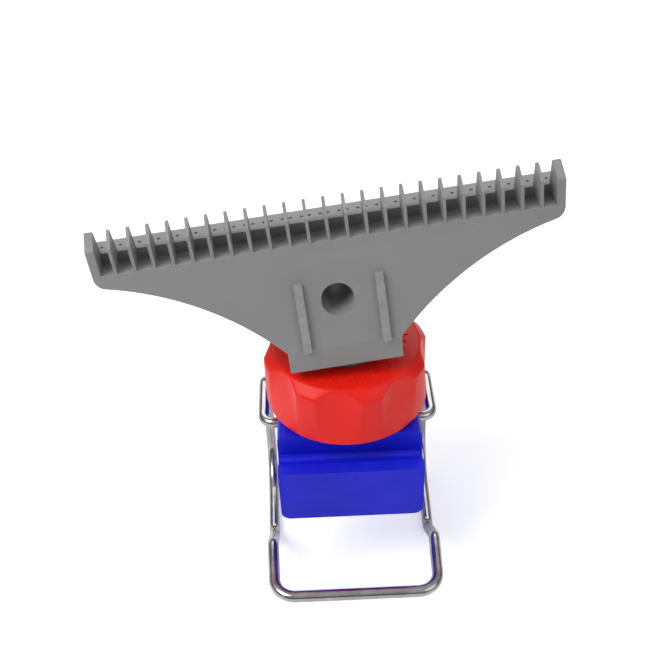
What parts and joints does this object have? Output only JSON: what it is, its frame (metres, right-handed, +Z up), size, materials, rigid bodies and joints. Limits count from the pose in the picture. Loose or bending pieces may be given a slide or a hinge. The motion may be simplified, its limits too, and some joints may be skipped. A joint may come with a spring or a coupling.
{
  "type": "clamp-on flat jet air nozzle",
  "caption": "Wide comb-shaped air nozzle on a lockable swivel ball, held to a pipe by a saddle with a hinged wire bail.",
  "frame": {"origin": "on the pipe's axis, midway along the saddle", "axes": "+X along the pipe, +Z up from the pipe through the cap, -Y towards the front, where the bail is gripped"},
  "size_m": [0.1116, 0.072, 0.1151],
  "materials": {
    "blue_plastic": "satin moulded",
    "red_plastic": "satin moulded",
    "grey_plastic": "satin moulded",
    "spring_wire": "bright drawn",
    "seal_rubber": "matt"
  },
  "bodies": {
    "clamp": {"clamp_body": "blue_plastic", "saddle_seal": "seal_rubber"},
    "bail": {"wire_bail": "spring_wire"},
    "cap": {"screw_cap": "red_plastic"},
    "seat": {"ball_seal_ring": "seal_rubber"},
    "ball": {"swivel_ball": "grey_plastic"},
    "nozzle": {"nozzle_body": "grey_plastic", "nozzle_rear_cover": "grey_plastic"}
  },
  "joints": [
    {"name": "bail_swing", "type": "hinge", "parent": "clamp", "child": "bail", "pos_m": [0, -0.005, 0.0223], "axis": [1, 0, 0], "range_deg": [-70, 100]},
    {"name": "cap_turn", "type": "hinge", "parent": "clamp", "child": "cap", "pos_m": [0, 0, 0.038], "axis": [0, 0, 1], "range_deg": [0, 90]},
    {"name": "swivel_yaw", "type": "hinge", "parent": "clamp", "child": "seat", "pos_m": [0, 0, 0.038], "axis": [0, 0, 1], "continuous": true},
    {"name": "swivel_tilt", "type": "hinge", "parent": "seat", "child": "ball", "pos_m": [0, 0, 0.038], "axis": [0.6157, 0.788, 0], "range_deg": [-2, 15]},
    {"name": "nozzle_twist", "type": "hinge", "parent": "ball", "child": "nozzle", "pos_m": [0, 0, 0.038], "axis": [-0.0892, 0.0697, 0.9936], "continuous": true}
  ]
}
